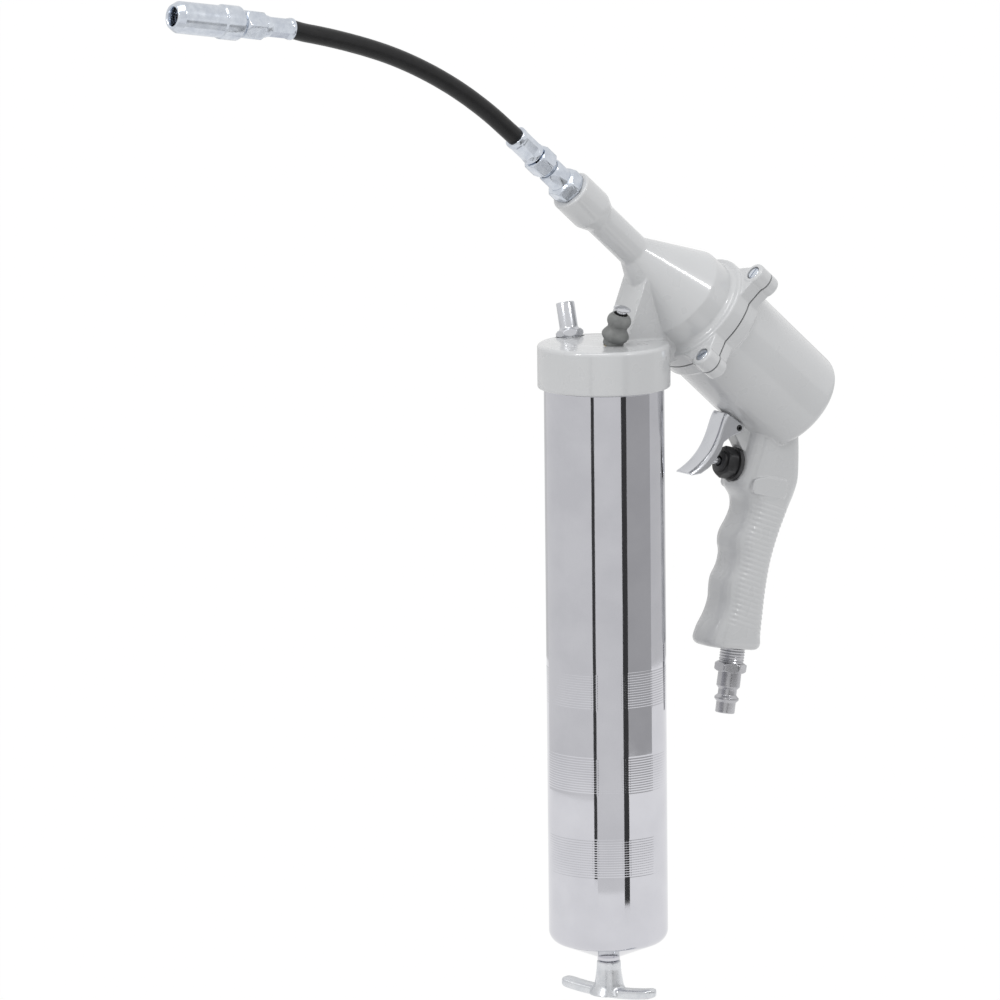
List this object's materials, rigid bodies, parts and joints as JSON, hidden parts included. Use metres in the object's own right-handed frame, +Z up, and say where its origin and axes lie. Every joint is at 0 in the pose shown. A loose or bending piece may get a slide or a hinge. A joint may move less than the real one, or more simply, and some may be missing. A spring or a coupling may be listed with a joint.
{
  "type": "air-operated grease gun",
  "caption": "Pistol-grip air grease gun with a screw-on chrome barrel, a tilted air motor, a trigger valve and a short rubber hose ending in a grease coupler.",
  "frame": {"origin": "on the barrel axis, at the upper end of the barrel's outside, just under the head's cap", "axes": "+Z up the barrel axis towards the head, -X towards the hose and coupler, +X towards the pistol handle, Y = 0 the gun's mid-plane"},
  "size_m": [0.3665, 0.0654, 0.4967],
  "materials": {
    "enamel": "glossy light grey enamel",
    "chrome": "polished chrome plate",
    "polished_steel": "bright plated steel",
    "zinc_plate": "bright zinc plate",
    "cast_satin": "satin die-cast",
    "black_oxide": "black oxide, semi-gloss",
    "spring_steel": "oiled spring wire",
    "plain_steel": "turned steel",
    "piston_alloy": "turned alloy",
    "black_rubber": "smooth black rubber",
    "grey_rubber": "soft grey rubber",
    "brass": "turned brass"
  },
  "bodies": {
    "head": {"head_casting": "enamel", "motor_casting": "enamel", "motor_gasket": "black_rubber", "flange_screws": "zinc_plate", "pump_seal": "black_rubber", "seal_retainer": "plain_steel", "return_spring": "spring_steel", "outlet_spring": "spring_steel", "nozzle_adapter": "zinc_plate", "hose_fitting": "zinc_plate", "hose_ferrule": "zinc_plate", "hose": "black_rubber", "coupler_ferrule": "zinc_plate", "coupler_stem": "zinc_plate", "coupler_body": "zinc_plate", "coupler_jaws": "plain_steel", "coupler_seal": "black_rubber", "coupler_spring": "spring_steel", "filler_nipple": "polished_steel", "bleeder_body": "brass", "bleeder_boot": "grey_rubber", "bleeder_spring": "spring_steel", "trigger_pin": "black_oxide", "valve_nut": "black_oxide", "valve_spring": "spring_steel", "air_plug": "zinc_plate"},
    "back_off": {"barrel_gasket": "black_rubber"},
    "barrel": {"barrel": "chrome", "follower_spring": "spring_steel"},
    "follower": {"follower_cup": "black_rubber", "follower_plate": "plain_steel"},
    "plunger": {"plunger_rod": "polished_steel", "rod_nut": "plain_steel", "tee_handle": "cast_satin"},
    "piston": {"air_piston": "piston_alloy", "piston_seal": "black_rubber", "piston_nut": "plain_steel", "pump_plunger": "polished_steel"},
    "outlet_ball": {"outlet_ball": "plain_steel"},
    "filler_ball": {"filler_ball": "plain_steel"},
    "bleeder_pin": {"bleeder_pin": "polished_steel"},
    "trigger": {"trigger": "polished_steel"},
    "valve_stem": {"valve_stem": "polished_steel", "stem_seal": "black_rubber"}
  },
  "joints": [
    {"name": "barrel_back_off", "type": "slide", "parent": "head", "child": "back_off", "axis": [0, 0, -1], "range_m": [0, 0.0088]},
    {"name": "barrel_unscrew", "type": "hinge", "parent": "back_off", "child": "barrel", "pos_m": [0, 0, 0], "axis": [0, 0, 1], "range_deg": [0, 1260]},
    {"name": "plunger_draw", "type": "slide", "parent": "barrel", "child": "follower", "axis": [0, 0, -1], "range_m": [0, 0.19], "stiffness_N_per_m": 300, "springref_m": -0.05, "deforming": ["follower_spring"]},
    {"name": "tee_turn", "type": "hinge", "parent": "follower", "child": "plunger", "pos_m": [0, 0, -0.29], "axis": [0, 0, 1], "continuous": true},
    {"name": "trigger_pull", "type": "hinge", "parent": "head", "child": "trigger", "pos_m": [0.0746, 0, -0.0266], "axis": [0, -1, 0], "range_deg": [0, 13], "stiffness_Nm_per_rad": 0.3, "springref_deg": -8.59},
    {"name": "valve_press", "type": "slide", "parent": "head", "child": "valve_stem", "axis": [0.9613, 0, -0.2756], "range_m": [0, 0.00472], "deforming": ["valve_spring"]},
    {"name": "piston_stroke", "type": "slide", "parent": "head", "child": "piston", "axis": [-0.7466, 0, 0.6652], "range_m": [0, 0.024], "stiffness_N_per_m": 600, "springref_m": -0.01, "deforming": ["return_spring"]},
    {"name": "outlet_ball_lift", "type": "slide", "parent": "head", "child": "outlet_ball", "axis": [-0.7466, 0, 0.6652], "range_m": [0, 0.0015], "stiffness_N_per_m": 100, "springref_m": -0.002, "deforming": ["outlet_spring"]},
    {"name": "filler_ball_push", "type": "slide", "parent": "head", "child": "filler_ball", "axis": [0, -0.2419, -0.9703], "range_m": [0, 0.002], "stiffness_N_per_m": 50, "springref_m": -0.002},
    {"name": "bleeder_press", "type": "slide", "parent": "head", "child": "bleeder_pin", "axis": [-0.0829, 0.309, -0.9474], "range_m": [0, 0.0016], "stiffness_N_per_m": 100, "springref_m": -0.003, "deforming": ["bleeder_spring"]}
  ],
  "couplings": [
    {"joint": "barrel_back_off", "follows": "barrel_unscrew", "m_per_rad": 0.00039789},
    {"joint": "valve_press", "follows": "trigger_pull", "m_per_rad": 0.0208}
  ]
}
